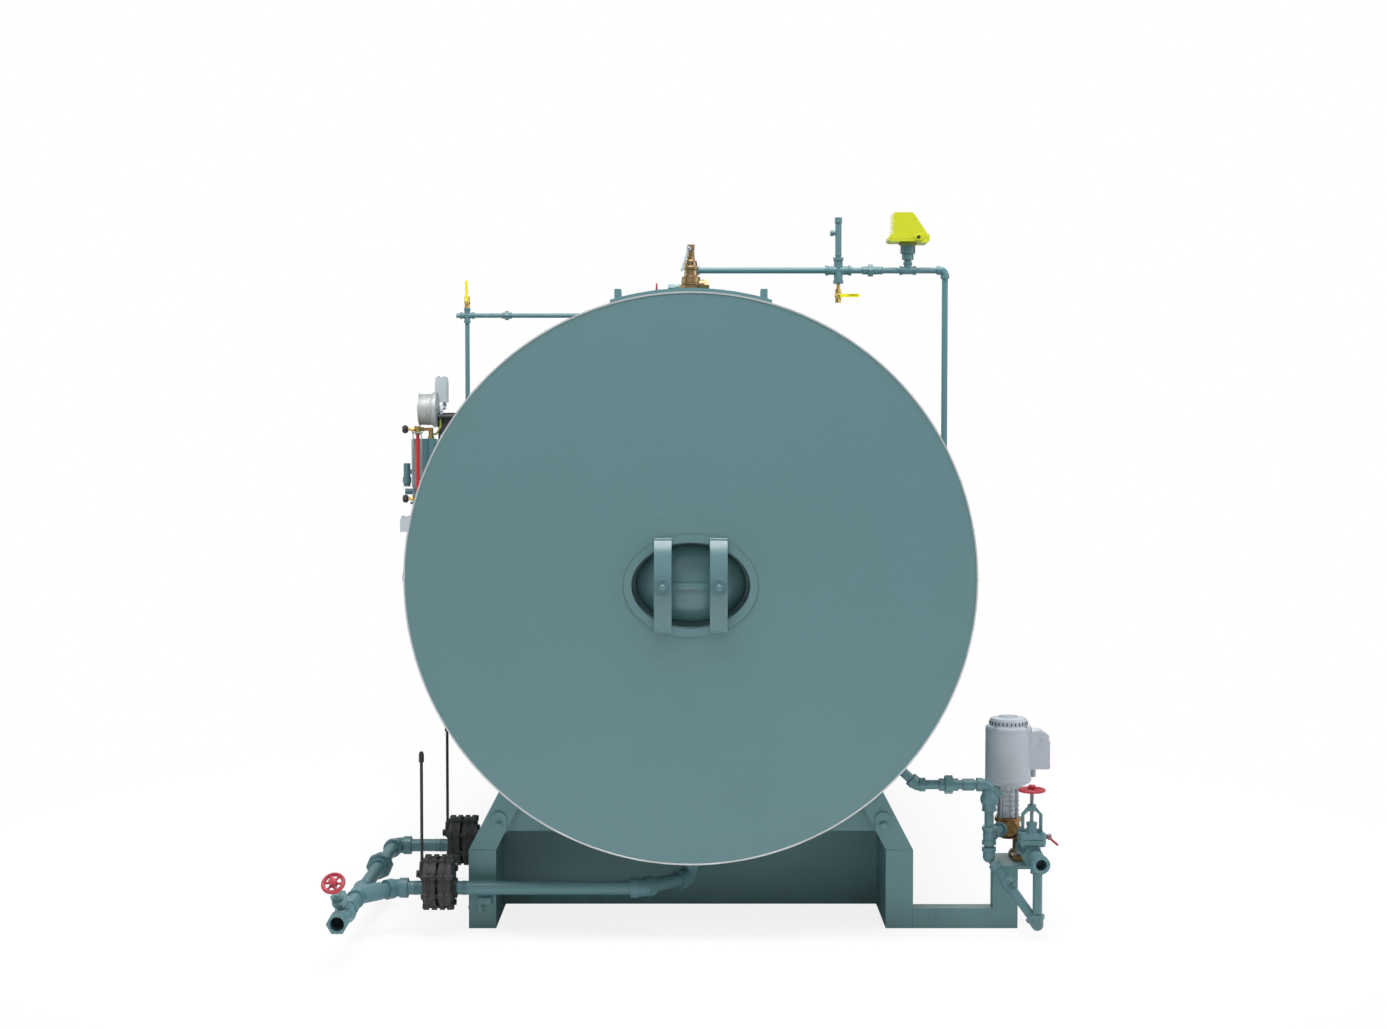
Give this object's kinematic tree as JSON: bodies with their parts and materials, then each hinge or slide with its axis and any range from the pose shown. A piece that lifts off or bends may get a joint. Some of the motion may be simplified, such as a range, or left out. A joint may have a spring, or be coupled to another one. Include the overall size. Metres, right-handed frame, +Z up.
{
  "type": "industrial boiler",
  "caption": "Horizontal insulated steam boiler on a skid base with oval manway, feed pump, blowdown valves, level controls and safety valve.",
  "frame": {"origin": "on the floor in the middle of the four anchor holes, under the vessel axis", "axes": "+Z up, -Y out of the rear end with the manway, +X to the right seen from that end"},
  "size_m": [2.6717, 3.7942, 2.692],
  "materials": {
    "teal_paint": "semi-gloss enamel",
    "plain_steel": "mill finish",
    "mineral_wool": "faced wool",
    "rim_metal": "satin",
    "black_iron": "black paint",
    "red_paint": "gloss",
    "yellow_grip": "dipped vinyl",
    "brass": "cast",
    "bronze": "dark cast",
    "sleeve_steel": "polished",
    "motor_grey": "satin",
    "box_grey": "satin",
    "hood_yellow": "moulded",
    "gauge_red": "red-backed tube",
    "gauge_case": "polished",
    "siphon_paint": "satin"
  },
  "bodies": {
    "boiler": {"pressure_shell": "plain_steel", "rear_head": "plain_steel", "front_head": "plain_steel", "insulation_wrap": "mineral_wool", "jacket": "teal_paint", "rear_plate": "teal_paint", "front_plate": "teal_paint", "end_rims": "rim_metal", "front_cover": "teal_paint", "manway_ring": "teal_paint", "manway_cover": "teal_paint", "manway_yokes": "teal_paint", "floor_rails": "teal_paint", "rear_saddle": "teal_paint", "front_saddle": "teal_paint", "pump_stand": "teal_paint", "pump_casing": "bronze", "pump_sleeve": "sleeve_steel", "pump_motor": "motor_grey", "terminal_box": "motor_grey", "suction_line": "teal_paint", "gate_valve": "teal_paint", "bypass_line": "teal_paint", "feed_line": "teal_paint", "blowdown_lines": "teal_paint", "quick_valves": "black_iron", "blowdown_trunk": "teal_paint", "slow_valve": "teal_paint", "crown_pad": "teal_paint", "lifting_lugs": "teal_paint", "safety_valve": "brass", "top_fittings": "teal_paint", "steam_outlet": "teal_paint", "right_run": "teal_paint", "sensor_cover": "hood_yellow", "left_run": "teal_paint", "ball_valves": "brass", "water_column": "teal_paint", "gauge_glass": "gauge_red", "gauge_cocks": "brass", "cock_knobs": "black_iron", "gauge_guard": "box_grey", "pressure_gauge": "gauge_case", "siphon_tube": "siphon_paint", "pressure_switch": "box_grey", "control_box": "black_iron", "probe_heads": "box_grey"},
    "gate_wheel": {"gate_wheel": "red_paint"},
    "drain_lever": {"drain_lever": "red_paint"},
    "near_lever": {"near_lever": "black_iron"},
    "far_lever": {"far_lever": "black_iron"},
    "slow_wheel": {"slow_wheel": "red_paint"},
    "safety_lever": {"safety_lever": "box_grey"},
    "right_lever": {"right_lever": "yellow_grip"},
    "left_lever": {"left_lever": "yellow_grip"}
  },
  "joints": [
    {"name": "slow_wheel_turn", "type": "hinge", "parent": "boiler", "child": "slow_wheel", "pos_m": [-1.18064, -1.99535, 0.29135], "axis": [-0.0845, -0.7046, 0.7046], "range_deg": [0, 1170]},
    {"name": "gate_wheel_turn", "type": "hinge", "parent": "boiler", "child": "gate_wheel", "pos_m": [1.208, -1.526, 0.515], "axis": [0, 0, 1], "range_deg": [0, 1530]},
    {"name": "drain_lever_turn", "type": "hinge", "parent": "boiler", "child": "drain_lever", "pos_m": [1.267, -1.545, 0.349], "axis": [0, 1, 0], "range_deg": [-41, 49]},
    {"name": "near_lever_swing", "type": "hinge", "parent": "boiler", "child": "near_lever", "pos_m": [-0.957, -1.504, 0.211], "axis": [1, 0, 0], "range_deg": [0, 85]},
    {"name": "far_lever_swing", "type": "hinge", "parent": "boiler", "child": "far_lever", "pos_m": [-0.957, -0.788, 0.211], "axis": [1, 0, 0], "range_deg": [0, 85]},
    {"name": "right_lever_turn", "type": "hinge", "parent": "boiler", "child": "right_lever", "pos_m": [0.612, -0.274, 2.352], "axis": [0, 1, 0], "range_deg": [0, 90]},
    {"name": "left_lever_turn", "type": "hinge", "parent": "boiler", "child": "left_lever", "pos_m": [-1.062, 0.826, 2.4012], "axis": [0, 1, 0], "range_deg": [0, 90]},
    {"name": "safety_lever_lift", "type": "hinge", "parent": "boiler", "child": "safety_lever", "pos_m": [-0.008, -1.088, 2.467], "axis": [0, 1, 0], "range_deg": [0, 30]}
  ]
}
